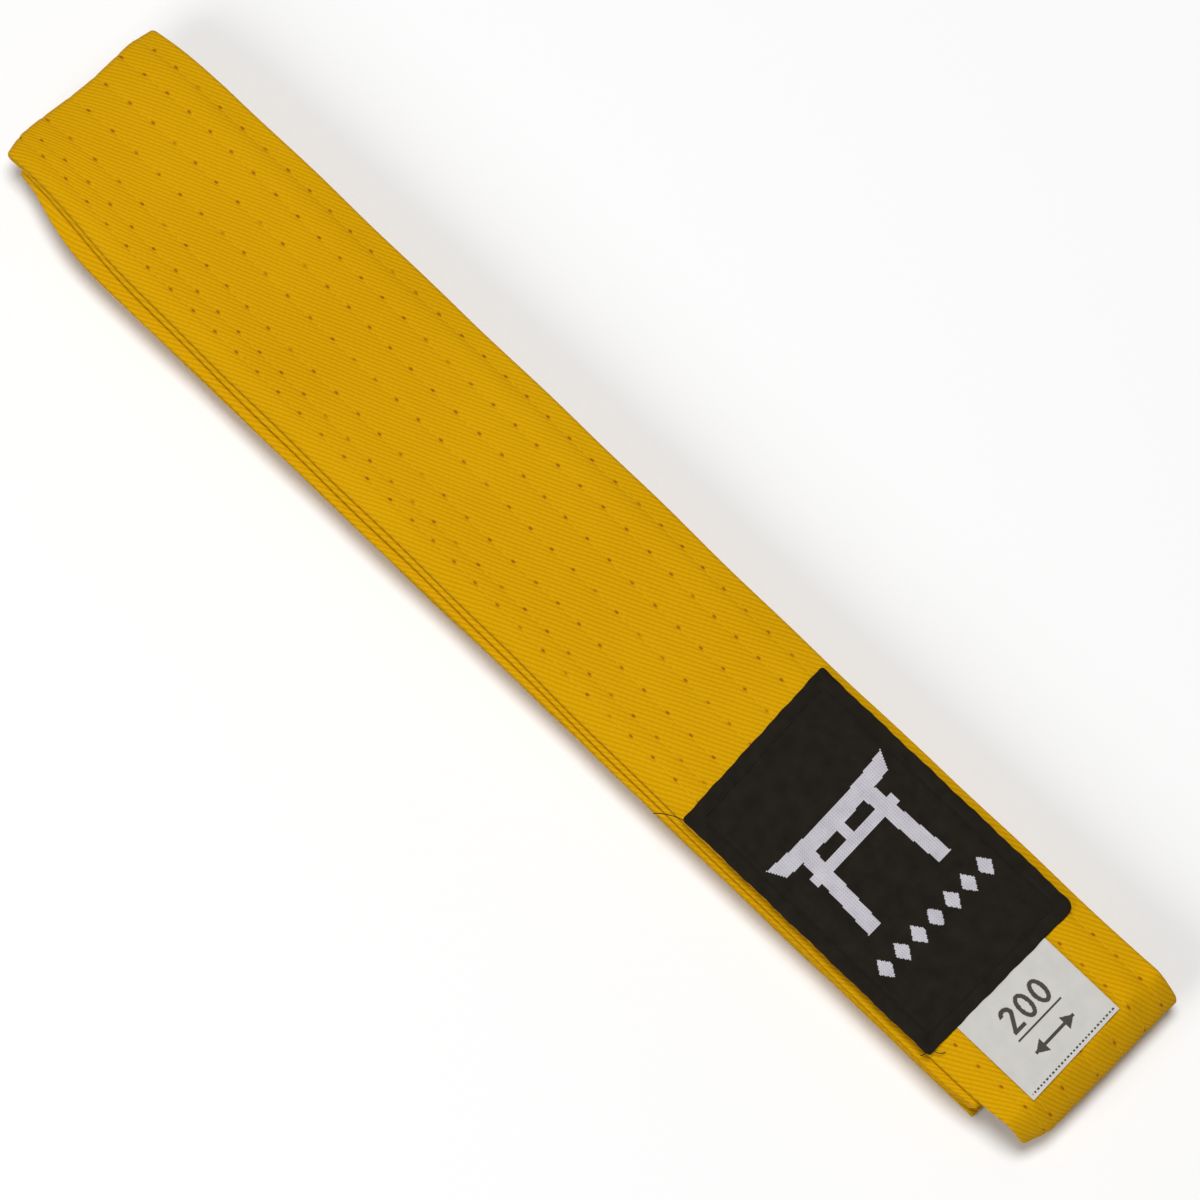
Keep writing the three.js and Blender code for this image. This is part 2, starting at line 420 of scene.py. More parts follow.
def make_mesh(name, places, faces, material, loops_uv=None):
    """A smooth-shaded mesh object made of equal-sided faces, with its UV layers."""
    mesh = bpy.data.meshes.new(name)
    faces = np.asarray(faces)
    mesh.vertices.add(len(places))
    mesh.vertices.foreach_set("co", np.asarray(places, np.float32).ravel())
    mesh.loops.add(faces.size)
    mesh.loops.foreach_set("vertex_index", faces.ravel().astype(np.int32))
    mesh.polygons.add(len(faces))
    corners = faces.shape[1]
    mesh.polygons.foreach_set("loop_start", np.arange(len(faces), dtype=np.int32) * corners)
    mesh.update(calc_edges=True)
    mesh.polygons.foreach_set("use_smooth", np.full(len(faces), True))
    for layer, values in (loops_uv or {}).items():
        uv = mesh.uv_layers.new(name=layer)
        uv.data.foreach_set("uv", np.asarray(values, np.float32).ravel())
    mesh.validate()
    mesh.set_sharp_from_angle(angle=math.radians(SHARP_ANGLE))
    obj = bpy.data.objects.new(name, mesh)
    bpy.context.scene.collection.objects.link(obj)
    mesh.materials.append(material)
    return obj


def set_places(obj, places):
    obj.data.vertices.foreach_set("co", np.asarray(places, np.float32).ravel())
    obj.data.update()


def strap_uv(points, faces, columns):
    """Two layers: the cloth's own (s, girth) in metres, and the stitch grid's (stitch, mm)."""
    count = len(section)
    girth_back = width + (half_w - section[1:-1][::-1])
    girth = np.concatenate([section, girth_back])
    column = faces % columns
    s = points[faces, 0]
    cloth = np.stack([s, girth[column]], axis=2)
    wraps = (column.max(axis=1) == columns - 1) & (column.min(axis=1) == 0)
    low = column == 0
    cloth[:, :, 1] = np.where(wraps[:, None] & low, 1.5 * width + half_w, cloth[:, :, 1])
    from_crest = s - top_run.start + CLOTH_STRETCH_START
    cloth[:, :, 1] *= 1 + CLOTH_STRETCH * wave(from_crest, CLOTH_STRETCH_LENGTH)
    y = points[faces, 1]
    centre_y = y.mean(axis=1)
    centre_s = s.mean(axis=1)
    rows = np.stack([row_y(row, centre_s) for row in range(len(seam_ys))], axis=1)
    nearest = np.argmin(np.abs(rows - centre_y[:, None]), axis=1)
    on_back = (column.min(axis=1) >= count - 1) | wraps
    s_used = s + np.where(on_back, 0.5 * STITCH_PITCH, 0.0)[:, None]
    u = np.zeros_like(s)
    v = np.zeros_like(s)
    for row in range(len(seam_ys)):
        mine = nearest == row
        u[mine] = stitch_place(row, s_used[mine])
        v[mine] = (y[mine] - row_y(row, s[mine])) / MM
    return {"strap": cloth, "stitches": np.stack([u, v], axis=2)}


def cover_piece(name, run, step, material, sewn_ends=()):
    """A length of the hollow cover. Returns the object, flat, and the places it is laid to."""
    rings = max(4, int(round(run.length / step))) + 1
    stations = np.linspace(run.start, run.start + run.length, rings)
    inner_stations = np.linspace(run.start, run.start + run.length, min(rings, 41))
    outer = shell_points(stations, False)
    inner = shell_points(inner_stations, True)
    pinch(outer, stations, sewn_ends)
    pinch(inner, inner_stations, sewn_ends)
    columns = outer.shape[1]
    points = np.concatenate([outer.reshape(-1, 3), inner.reshape(-1, 3)])
    base = rings * columns
    faces = [grid_faces(rings, columns, 0), grid_faces(len(inner_stations), columns, base, True)]
    inner_last = base + (len(inner_stations) - 1) * columns
    column = np.arange(columns)
    after = (column + 1) % columns
    faces.append(np.stack([column, after, base + after, base + column], axis=1))
    last = (rings - 1) * columns
    faces.append(
        np.stack([last + after, last + column, inner_last + column, inner_last + after], axis=1)
    )
    faces = np.concatenate(faces)
    uv = strap_uv(points, faces, columns)
    return make_mesh(name, points, faces, material, uv), lay(points)


# ---- Materials --------------------------------------------------------------------------------

TWILL_ANGLE = 24.6
TWILL_PITCH = 0.792 * MM
TWILL_FLOAT = 1.3 * MM


class Nodes:
    """A material's node tree, with short calls to add and join nodes."""

    def __init__(self, name):
        self.material = bpy.data.materials.new(name)
        self.material.use_nodes = True
        self.tree = self.material.node_tree
        self.shader = self.tree.nodes["Principled BSDF"]

    def add(self, kind, **settings):
        node = self.tree.nodes.new(kind)
        for key, value in settings.items():
            setattr(node, key, value)
        return node

    def put(self, socket, value):
        if isinstance(value, (int, float, tuple)):
            socket.default_value = value
        else:
            self.tree.links.new(value, socket)

    def math(self, operation, a, b=0.0, c=0.0):
        node = self.add("ShaderNodeMath", operation=operation)
        for socket, value in zip(node.inputs, (a, b, c)):
            self.put(socket, value)
        return node.outputs[0]

    def uv(self, layer):
        node = self.add("ShaderNodeUVMap", uv_map=layer)
        split = self.add("ShaderNodeSeparateXYZ")
        self.put(split.inputs[0], node.outputs[0])
        return node.outputs[0], split.outputs[0], split.outputs[1]

    def noise(self, vector, scale, detail=2.0, roughness=0.5):
        node = self.add("ShaderNodeTexNoise")
        self.put(node.inputs["Vector"], vector)
        node.inputs["Scale"].default_value = scale
        node.inputs["Detail"].default_value = detail
        node.inputs["Roughness"].default_value = roughness
        return node.outputs["Fac"]

    def mix(self, share, a, b):
        node = self.add("ShaderNodeMix", data_type="RGBA")
        self.put(node.inputs[0], share)
        self.put(node.inputs[6], a)
        self.put(node.inputs[7], b)
        return node.outputs[2]

    def ramp(self, value, low, high):
        node = self.add("ShaderNodeMapRange")
        self.put(node.inputs["Value"], value)
        node.inputs["From Min"].default_value = low
        node.inputs["From Max"].default_value = high
        return node.outputs["Result"]

    def bump(self, height, distance, strength=1.0, normal=None):
        node = self.add("ShaderNodeBump")
        node.inputs["Strength"].default_value = strength
        node.inputs["Distance"].default_value = distance
        self.put(node.inputs["Height"], height)
        if normal is not None:
            self.put(node.inputs["Normal"], normal)
        return node.outputs[0]

    def set(self, **sockets):
        for name, value in sockets.items():
            self.put(self.shader.inputs[name.replace("_", " ")], value)


def twill_height(nodes, along, across, pitch, yarn):
    """Diagonal wales made of short yarn floats: 1 on a float's crown and 0 between floats."""
    q = nodes.math("DIVIDE", across, pitch)
    wale = nodes.math("FLOOR", q)
    inside = nodes.math("SUBTRACT", q, wale)
    crown = nodes.math("SINE", nodes.math("MULTIPLY", inside, math.pi))
    shift = nodes.add("ShaderNodeTexWhiteNoise", noise_dimensions="1D")
    nodes.put(shift.inputs["W"], wale)
    shift = shift.outputs["Value"]
    p = nodes.math("FRACT", nodes.math("ADD", nodes.math("DIVIDE", along, yarn), shift))
    float_crown = nodes.math("POWER", nodes.math("SINE", nodes.math("MULTIPLY", p, math.pi)), 0.5)
    wale_crown = nodes.math("POWER", crown, 0.7)
    return nodes.math("MULTIPLY", wale_crown, nodes.math("MULTIPLY_ADD", float_crown, 0.25, 0.75))


def yellow_twill():
    nodes = Nodes("yellow_twill")
    vector, s, g = nodes.uv("strap")
    _, stitch, from_row = nodes.uv("stitches")
    angle = math.radians(TWILL_ANGLE)
    wander = nodes.math("MULTIPLY", nodes.math("SUBTRACT", nodes.noise(vector, 90), 0.5), 0.00055)
    along = nodes.math(
        "ADD",
        nodes.math("MULTIPLY", s, math.cos(angle)),
        nodes.math("MULTIPLY", g, math.sin(angle)),
    )
    across = nodes.math(
        "ADD",
        nodes.math("SUBTRACT", nodes.math("MULTIPLY", g, math.cos(angle)),
                   nodes.math("MULTIPLY", s, math.sin(angle))),
        wander,
    )
    twill = twill_height(nodes, along, across, TWILL_PITCH, TWILL_FLOAT)
    broad = nodes.noise(vector, 26, 3.0)
    streak_at = nodes.add("ShaderNodeMapping")
    streak_at.inputs["Rotation"].default_value = (0, 0, -angle)
    streak_at.inputs["Scale"].default_value = (60, 900, 1)
    nodes.put(streak_at.inputs[0], vector)
    streaks = nodes.noise(streak_at.outputs[0], 1.0, 1.0)
    fuzz = nodes.noise(vector, 9000, 2.0, 0.7)
    # Painted shade and light: the grooves between the twill's wales are painted darker and the
    # crowns of its wales lighter, following the same heights the bump uses.
    twill_groove_shade = (0.455, 0.208, 0.0, 1)
    crown = (0.58, 0.305, 0.0, 1)
    base = nodes.mix(nodes.ramp(twill, 0.05, 0.95), twill_groove_shade, crown)
    tone = nodes.math("ADD", nodes.ramp(broad, 0.3, 0.7), nodes.math("MULTIPLY", streaks, 0.7))
    lit = nodes.mix(nodes.math("MULTIPLY", tone, 0.2), base, (0.67, 0.39, 0.002, 1))
    # Painted shade: each needle hole is painted dark brown for the shadow inside it, fainter at some
    # holes than others at random; the same hole shape also dents the bump.
    place = nodes.math("SUBTRACT", nodes.math("FRACT", nodes.math("ADD", stitch, 0.5)), 0.5)
    along_mm = nodes.math("MULTIPLY", place, STITCH_PITCH / MM)
    slant = nodes.math("ADD", from_row, nodes.math("MULTIPLY", along_mm, -0.06))
    hole_u = nodes.math("POWER", nodes.math("DIVIDE", along_mm, 0.44), 2.0)
    hole_v = nodes.math("POWER", nodes.math("DIVIDE", slant, 0.23), 2.0)
    distance = nodes.math("ADD", hole_u, hole_v)
    needle_hole_shade = nodes.math("SUBTRACT", 1.0, nodes.ramp(distance, 0.35, 1.5))
    hole_shade_fade = nodes.noise(vector, 410, 1.0)
    needle_hole_shade = nodes.math("MULTIPLY", needle_hole_shade, nodes.ramp(hole_shade_fade, 0.2, 0.5))
    # Painted shade: the cloth round each needle hole, down in the row's groove, is painted a little
    # darker.
    hole_groove_shade = nodes.math("SUBTRACT", 1.0, nodes.ramp(distance, 1.0, 7.0))
    shaded = nodes.mix(nodes.math("MULTIPLY", hole_groove_shade, 0.2), lit, (0.5, 0.19, 0.002, 1))
    colour = nodes.mix(nodes.math("MULTIPLY", needle_hole_shade, 0.85), shaded, (0.26, 0.07, 0.002, 1))
    height = nodes.math("ADD", twill, nodes.math("MULTIPLY", fuzz, 0.35))
    height = nodes.math("SUBTRACT", height, nodes.math("MULTIPLY", needle_hole_shade, 0.9))
    normal = nodes.bump(height, 0.075 * MM, 0.9)
    roughness = nodes.math("MULTIPLY_ADD", fuzz, 0.1, 0.8)
    nodes.set(Base_Color=colour, Roughness=roughness, Normal=normal, Sheen_Weight=0.03,
              Sheen_Roughness=0.45, Sheen_Tint=(1.0, 0.8, 0.2, 1), Specular_IOR_Level=0.05)
    return nodes.material


def sewing_thread(name, dark, light, scale, sheen):
    """Two-ply twisted thread: a fine slanting stripe over an uneven colour."""
    nodes = Nodes(name)
    place = nodes.add("ShaderNodeTexCoord").outputs["Object"]
    wave_node = nodes.add("ShaderNodeTexWave", bands_direction="DIAGONAL")
    nodes.put(wave_node.inputs["Vector"], place)
    wave_node.inputs["Scale"].default_value = scale
    wave_node.inputs["Distortion"].default_value = 1.5
    tone = nodes.noise(place, 700)
    twist = wave_node.outputs["Fac"]
    colour = nodes.mix(nodes.math("MULTIPLY_ADD", twist, 0.7, nodes.math("MULTIPLY", tone, 0.3)),
                       dark, light)
    nodes.set(Base_Color=colour, Roughness=0.6, Normal=nodes.bump(twist, 0.03 * MM),
              Sheen_Weight=sheen, Specular_IOR_Level=0.08)
    return nodes.material


def cotton_padding():
    """Needled cotton: matted fibres in every direction."""
    nodes = Nodes("cotton_core")
    place = nodes.add("ShaderNodeTexCoord").outputs["Object"]
    fibres = nodes.noise(place, 2600, 4.0, 0.65)
    lumps = nodes.noise(place, 240, 2.0)
    colour = nodes.mix(nodes.math("MULTIPLY_ADD", fibres, 0.6, nodes.math("MULTIPLY", lumps, 0.4)),
                       (0.60, 0.55, 0.44, 1), (0.86, 0.83, 0.75, 1))
    height = nodes.math("ADD", fibres, nodes.math("MULTIPLY", lumps, 0.8))
    nodes.set(Base_Color=colour, Roughness=0.95, Normal=nodes.bump(height, 0.15 * MM),
              Sheen_Weight=0.3)
    return nodes.material


def woven(name, dark, light, warp, weft, bump, roughness, sheen, specular):
    """A fine plain weave over the piece's own "cloth" coordinates, in metres."""
    nodes = Nodes(name)
    vector, u, v = nodes.uv("cloth")
    warp_wave = nodes.math("SINE", nodes.math("MULTIPLY", u, 2 * math.pi / warp))
    weft_wave = nodes.math("SINE", nodes.math("MULTIPLY", v, 2 * math.pi / weft))
    weave = nodes.math("MULTIPLY", warp_wave, weft_wave)
    ribs = nodes.math("MULTIPLY_ADD", weft_wave, 0.5, nodes.math("MULTIPLY", weave, 0.5))
    tone = nodes.noise(vector, 320, 3.0)
    share = nodes.math("MULTIPLY_ADD", ribs, 0.3, nodes.math("MULTIPLY", tone, 0.9))
    colour = nodes.mix(nodes.ramp(share, 0.0, 1.0), dark, light)
    nodes.set(Base_Color=colour, Roughness=roughness, Normal=nodes.bump(ribs, bump),
              Sheen_Weight=sheen, Specular_IOR_Level=specular)
    return nodes.material


twill = yellow_twill()
yellow_thread = sewing_thread("yellow_thread", (0.62, 0.33, 0.0, 1), (0.78, 0.45, 0.003, 1),
                              2600, 0.0)
black_thread = sewing_thread("black_thread", (0.004, 0.0035, 0.003, 1), (0.016, 0.014, 0.013, 1),
                             2600, 0.03)
padding = cotton_padding()
damask = woven("black_damask", (0.007, 0.0055, 0.0038, 1), (0.022, 0.0175, 0.012, 1),
               0.34 * MM, 0.26 * MM, 0.03 * MM, 0.65, 0.0, 0.04)
emblem_weave = woven("grey_weave", (0.36, 0.35, 0.38, 1), (0.60, 0.585, 0.63, 1),
                     0.5 * MM, 0.5 * MM, 0.05 * MM, 0.6, 0.1, 0.15)
satin = woven("white_satin", (0.465, 0.45, 0.425, 1), (0.575, 0.56, 0.53, 1),
              0.3 * MM, 0.2 * MM, 0.012 * MM, 0.4, 0.1, 0.15)
tag_ink = woven("tag_ink", (0.032, 0.026, 0.024, 1), (0.062, 0.052, 0.048, 1),
                0.3 * MM, 0.2 * MM, 0.012 * MM, 0.5, 0.0, 0.15)

# ---- The strap --------------------------------------------------------------------------------

FINE_STEP = 0.6 * MM
COARSE_STEP = 2.0 * MM
PADDING_COLUMNS = 61
FOLD_STEP = 0.08 * MM
ROLL_STEP = 0.25 * MM


def blended(obj, run, places, body_before, body_after):
    """Bakes obj's transform into its mesh, then moves its points to where they lie in the bundle."""
    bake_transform(obj)
    set_places(obj, places)


def finish_strap_piece(obj, nodes):
    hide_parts(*nodes)


def core_piece(name, run, step):
    """A bent stretch of the padding, closed at both ends: flat, with the places it is laid to."""
    gap = JOINT_GAP / 2
    rings = int(round(run.length / step)) + 1
    stations = np.linspace(run.start + gap, run.start + run.length - gap, rings)
    half = CORE_THICKNESS / 2
    edge = half_w - COVER - CORE_CLEARANCE
    flats = list(np.linspace(-edge + half, edge - half, PADDING_COLUMNS))
    ring = [(y, half) for y in flats] + [(y, -half) for y in reversed(flats)]
    columns = len(ring)
    points = np.array([(s, y, out) for s in stations for y, out in ring])
    faces = list(grid_faces(rings, columns, 0))
    last = (rings - 1) * columns
    for base, flip in ((0, False), (last, True)):
        for i in range(columns // 2 - 1):
            quad = [base + i, base + i + 1, base + columns - 2 - i, base + columns - 1 - i]
            faces.append(np.array(quad[::-1] if flip else quad))
    return make_mesh(name, points, faces, padding), lay(points)


def build_plies():
    for ply in range(1, PLIES + 1):
        run = run_of[f"ply_{ply}"]
        step = FINE_STEP if ply == PLIES else COARSE_STEP
        sewn = [0.0] if ply == 1 else []
        obj, places = cover_piece(f"strap_cover_{ply}", run, step, twill, sewn)
        set_places(obj, places)
        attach(obj, f"strap_{ply}")
        finish_strap_piece(obj, [f"cover_ply_{ply}"])
        obj, places = core_piece(f"padding_{ply}", run, step)
        set_places(obj, places)
        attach(obj, f"strap_{ply}")
        finish_strap_piece(obj, [f"core_ply_{ply}"])


def build_folds():
    for ply in range(1, PLIES):
        run = run_of[f"fold_{ply}_{ply + 1}"]
        obj, places = cover_piece(f"fold_cover_{ply}_{ply + 1}", run, FOLD_STEP, twill)
        blended(obj, run, places, f"strap_{ply}", f"strap_{ply + 1}")
        finish_strap_piece(obj, [f"cover_fold_{ply}_{ply + 1}"])
        obj, places = core_piece(f"fold_padding_{ply}_{ply + 1}", run, FOLD_STEP)
        blended(obj, run, places, f"strap_{ply}", f"strap_{ply + 1}")
        finish_strap_piece(obj, [f"core_fold_{ply}_{ply + 1}"])


ROLL_BODIES = ["strap_8", "end_1", "end_2", "end_3"]


def build_rolled_end():
    for part in range(3):
        run = run_of[f"end_roll_{part + 1}"]
        obj, places = cover_piece(f"roll_cover_{part + 1}", run, ROLL_STEP, twill)
        blended(obj, run, places, ROLL_BODIES[part], ROLL_BODIES[part + 1])
        finish_strap_piece(obj, [f"cover_end_roll_{part + 1}"])
        obj, places = core_piece(f"roll_padding_{part + 1}", run, ROLL_STEP)
        blended(obj, run, places, ROLL_BODIES[part], ROLL_BODIES[part + 1])
        finish_strap_piece(obj, [f"core_end_roll_{part + 1}"])
    obj, places = cover_piece("tip_cover", run_of["tip"], ROLL_STEP, twill, [strap_length])
    set_places(obj, places)
    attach(obj, "end_3")
    finish_strap_piece(obj, ["cover_tip"])
    obj, places = core_piece("tip_padding", run_of["tip"], ROLL_STEP)
    set_places(obj, places)
    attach(obj, "end_3")
    finish_strap_piece(obj, ["core_tip"])


build_plies()
build_folds()
build_rolled_end()

# ---- The yellow stitches -----------------------------------------------------------------------


def tube(path, radius, sides, first):
    """A closed tube through (s, y, out) points, as points and quads. It has an even number of
    sides, so that quads close its ends."""
    path = np.asarray(path)
    tangent = np.gradient(path, axis=0)
    tangent /= np.linalg.norm(tangent, axis=1)[:, None]
    up = np.tile([0.0, 0.0, 1.0], (len(path), 1))
    side = np.cross(tangent, up)
    side /= np.linalg.norm(side, axis=1)[:, None]
    up = np.cross(side, tangent)
    turn = np.arange(sides) * 2 * math.pi / sides
    ring = np.cos(turn)[None, :, None] * side[:, None] + np.sin(turn)[None, :, None] * up[:, None]
    points = (path[:, None] + radius * ring).reshape(-1, 3)
    faces = [grid_faces(len(path), sides, first)]
    last = first + (len(path) - 1) * sides
    for i in range(sides // 2 - 1):
        faces.append([[first + i, first + i + 1, first + sides - 2 - i, first + sides - 1 - i]])
        faces.append([[last + i, last + sides - 1 - i, last + sides - 2 - i, last + i + 1]])
    return points, np.concatenate(faces)


def hole_at(row, index):
    """Where along the strap a row's needle hole lies."""
    s = (index - 0.377 * row) * STITCH_PITCH
    for _ in range(3):
        s = s - (stitch_place(row, s) - index) * STITCH_PITCH
    return s


def row_stitches(row, start, end, side, steps, sides, first):
    """One row's stitches on one face of the strap, from start to end along it."""
    points, faces = [], []
    shift = 0.0 if side > 0 else -0.5 * STITCH_PITCH
    index = math.floor(float(stitch_place(row, start - shift))) - 1
    while hole_at(row, index) + shift < end:
        a = max(hole_at(row, index) + shift + 0.2 * MM, start)
        b = min(hole_at(row, index + 1) + shift - 0.2 * MM, end)
        index += 1
        if b - a < 0.4 * MM:
            continue
        s = np.linspace(a, b, steps)
        y = row_y(row, s)
        place = stitch_place(row, s - shift)
        gap = np.abs(place - np.round(place)) * STITCH_PITCH
        dive = 0.3 * MM * np.exp(-((gap / (0.45 * MM)) ** 2))
        out = surface(s - shift, y) - 0.08 * THREAD - dive
        piece, quads = tube(np.column_stack([s, y, side * out]), THREAD / 2, sides, first)
        points.append(piece)
        faces.append(quads)
        first += len(piece)
    return points, faces, first


def stitch_piece(name, run, rows, steps, sides):
    points, faces, first = [], [], 0
    for row in rows:
        for side in (1, -1):
            made, quads, first = row_stitches(row, run.start, run.start + run.length, side, steps,
                                              sides, first)
            points += made
            faces += quads
    points = np.concatenate(points)
    return make_mesh(name, points, np.concatenate(faces), yellow_thread), lay(points)


def build_stitches():
    every_row = range(len(seam_ys))
    for row in every_row:
        obj, places = stitch_piece(f"stitch_row_{row + 1}", top_run, [row], 9, 6)
        set_places(obj, places)
        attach(obj, "strap_8")
        finish_strap_piece(obj, [f"seam_thread_{row + 1}"])
    for ply in range(1, PLIES):
        obj, places = stitch_piece(f"stitches_{ply}", run_of[f"ply_{ply}"], every_row, 6, 4)
        set_places(obj, places)
        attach(obj, f"strap_{ply}")
        run = run_of[f"fold_{ply}_{ply + 1}"]
        obj, places = stitch_piece(f"fold_stitches_{ply}_{ply + 1}", run, every_row, 9, 4)
        blended(obj, run, places, f"strap_{ply}", f"strap_{ply + 1}")
    for part in range(3):
        run = run_of[f"end_roll_{part + 1}"]
        obj, places = stitch_piece(f"roll_stitches_{part + 1}", run, every_row, 9, 4)
        blended(obj, run, places, ROLL_BODIES[part], ROLL_BODIES[part + 1])


build_stitches()

# ---- The label ---------------------------------------------------------------------------------


def segment_distance(p, q, a, b):
    """Distance from points (p, q) to the straight line from a to b."""
    a, b = np.array(a), np.array(b)
    d = b - a
    t = np.clip(((p - a[0]) * d[0] + (q - a[1]) * d[1]) / (d @ d), 0, 1)
    return np.hypot(p - a[0] - t * d[0], q - a[1] - t * d[1])


def emblem(p, q):
    """A plain gate with two beams over a row of lozenges. p and q are in mm, rightwards and
    upwards as the label is read."""
    q = q - 2.0
    bow = 0.004 * p * p
    top = (np.abs(q - bow - 9.0) < 1.7) & (np.abs(p) < 14.2 + 0.5 * (q - 9.0))
    beam = (np.abs(q - 3.6) < 1.15) & (np.abs(p) < 11.0)
    strut = (np.abs(p) < 1.1) & (q > 3.6) & (q < 9.0)
    lean = np.abs(np.abs(p) - 8.0 + 0.07 * (q - 9.0))
    pillars = (lean < 1.55) & (q < 8.5) & (q > -10.5)
    row = q + 17.0
    pitch = 4.4
    lozenge = np.abs(p - pitch * np.round(p / pitch)) / 1.6 + np.abs(row) / 2.3 < 1
    lozenges = lozenge & (np.abs(p) < 3.5 * pitch)
    return top | beam | strut | pillars | lozenges


def slab_faces(rows, columns):
    """Quads of a closed slab: a top grid, a bottom grid, and the rim between them."""
    top = grid_faces(rows, columns, 0, closed=False)
    count = rows * columns
    bottom = grid_faces(rows, columns, count, inward=True, closed=False)
    ring = list(range(columns - 1))
    ring += [columns - 1 + i * columns for i in range(rows - 1)]
    ring += [count - 1 - i for i in range(columns - 1)]
    ring += [(rows - 1 - i) * columns for i in range(rows - 1)]
    ring = np.array(ring)
    after = np.roll(ring, -1)
    rim = np.stack([ring, after, after + count, ring + count], axis=1)
    return top, np.concatenate([top, bottom, rim])


def round_corners(u, v, length, breadth, radii):
    """Draws a rectangle's corners in to arcs. radii are for (left near, right near, right far,
    left far)."""
    u, v = u.copy(), v.copy()
    corners = [(0, 0), (1, 0), (1, 1), (0, 1)]
    for (right, far), radius in zip(corners, radii):
        cu = length - radius if right else radius
        cv = breadth - radius if far else radius
        du, dv = u - cu, v - cv
        inside = ((du > 0) == bool(right)) & ((dv > 0) == bool(far))
        reach = np.hypot(du, dv)
        inside &= reach > 1e-9
        share = np.maximum(np.abs(du), np.abs(dv)) / np.maximum(reach, 1e-9)
        u = np.where(inside, cu + du * share, u)
        v = np.where(inside, cv + dv * share, v)
    return u, v


label_low, label_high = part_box("label")
label_length = label_high.x - label_low.x
label_width = label_high.y - label_low.y
LABEL_SKEW = 1.9 * MM


def label_place(u, v):
    """Where a point of the flat label lies: its left edge is cut askew."""
    near = 1 - v / label_width
    x = label_low.x + u + LABEL_SKEW * near * (1 - u / label_length)
    return x, label_low.y + v


def label_height(u, v):
    """The height of the label's face: drawn down along its stitches and at its edges."""
    edge = np.minimum(np.minimum(u, label_length - u), np.minimum(v, label_width - v))
    seam = np.exp(-(((edge - LABEL_INSET) / (0.5 * MM)) ** 2))
    pulls = 0.75 + 0.25 * np.cos(2 * math.pi * (u + v) / LABEL_STITCH)
    ripple = 0.05 * MM * wave(u, LABEL_STITCH) * wave(v, LABEL_STITCH)
    ripple = ripple * np.exp(-((edge / (3 * MM)) ** 2))
    swell = 0.05 * MM * wave(u + 0.4 * v, 0.021) * wave(v, 0.017, 0.2)
    drop = 0.16 * MM * np.exp(-edge / (0.35 * MM))
    return label_low.z + LABEL_HEIGHT + ripple + swell - 0.16 * MM * seam * pulls - drop


def cloth_uv(flat, faces):
    return {"cloth": flat[faces % len(flat)]}


def two_material_slab(name, flat, top_z, bottom_z, rows, columns, materials, pattern):
    """A cloth slab whose face is woven or printed in a second material where pattern says."""
    places = np.concatenate([
        np.column_stack([flat["x"], flat["y"], top_z]),
        np.column_stack([flat["x"], flat["y"], bottom_z]),
    ])
    top, faces = slab_faces(rows, columns)
    own = np.column_stack([flat["u"], flat["v"]])
    obj = make_mesh(name, places, faces, materials[0], cloth_uv(own, faces))
    obj.data.materials.append(materials[1])
    middle = own[top].mean(axis=1)
    index = np.zeros(len(faces), np.int32)
    index[: len(top)] = pattern(middle[:, 0], middle[:, 1])
    obj.data.polygons.foreach_set("material_index", index)
    obj.data.update()
    return obj


def build_label():
    columns = int(round(label_width / LABEL_GRID)) + 1
    rows = int(round(label_length / LABEL_GRID)) + 1
    u, v = np.meshgrid(np.linspace(0, label_length, rows), np.linspace(0, label_width, columns),
                       indexing="ij")
    u, v = u.ravel(), v.ravel()
    edge_u = np.minimum(u, label_length - u)
    edge_v = np.minimum(v, label_width - v)
    scallop = 0.045 * MM
    fade_u = np.exp(-edge_u / (1.2 * MM)) * np.sign(u - label_length / 2)
    fade_v = np.exp(-edge_v / (1.2 * MM)) * np.sign(v - label_width / 2)
    bent_u = u + scallop * fade_u * (wave(v, LABEL_STITCH) + 1.2 * wave(v, 0.0093, 0.4) - 0.6)
    bent_v = v + scallop * fade_v * (wave(u, LABEL_STITCH) + 1.2 * wave(u, 0.0127, 0.1) - 0.6)
    radii = [0.7 * MM, 0.8 * MM, 2.0 * MM, 0.7 * MM]
    bent_u, bent_v = round_corners(bent_u, bent_v, label_length, label_width, radii)
    x, y = label_place(bent_u, bent_v)
    top = label_height(u, v)
    flat = {"x": x, "y": y, "u": u, "v": v}
    bottom = np.full(len(u), label_low.z - 0.02 * MM)
    tuck = (np.abs(y - tag_middle_y) < tag_half) & (x > tag_low.x)
    bottom = np.where(tuck, label_low.z + 0.22 * MM, bottom)

    def pattern(u, v):
        return emblem((v - label_width / 2) / MM, (label_length / 2 - u) / MM)

    obj = two_material_slab("woven_label", flat, top, bottom, rows, columns,
                            [damask, emblem_weave], pattern)
    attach(obj, "strap_8")
    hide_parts("label")


def label_seam_path():
    """The ring of needle holes round the label, as (u, v) points of the flat label."""
    u0, u1 = LABEL_INSET, label_length - LABEL_INSET
    v0, v1 = LABEL_INSET, label_width - LABEL_INSET
    corners = [(u0, v0), (u1, v0), (u1, v1), (u0, v1), (u0, v0)]
    holes = []
    for (ua, va), (ub, vb) in zip(corners[:-1], corners[1:]):
        count = int(round(math.hypot(ub - ua, vb - va) / LABEL_STITCH))
        for i in range(count):
            t = i / count
            holes.append((ua + t * (ub - ua), va + t * (vb - va)))
    holes.append(corners[-1])
    wander = random.normal(0, 0.09 * MM, (len(holes), 2))
    wander[-1] = wander[0]
    return np.array(holes) + wander


def loose_end(start, direction, length, curl):
    """A short thread end lying on the label: a few points along a flattened arc."""
    t = np.linspace(0, 1, 9)
    heading = direction + curl * t
    step = length / 8
    x = start[0] + np.concatenate([[0], np.cumsum(np.cos(heading[:-1]) * step)])
    y = start[1] + np.concatenate([[0], np.cumsum(np.sin(heading[:-1]) * step)])
    return x, y


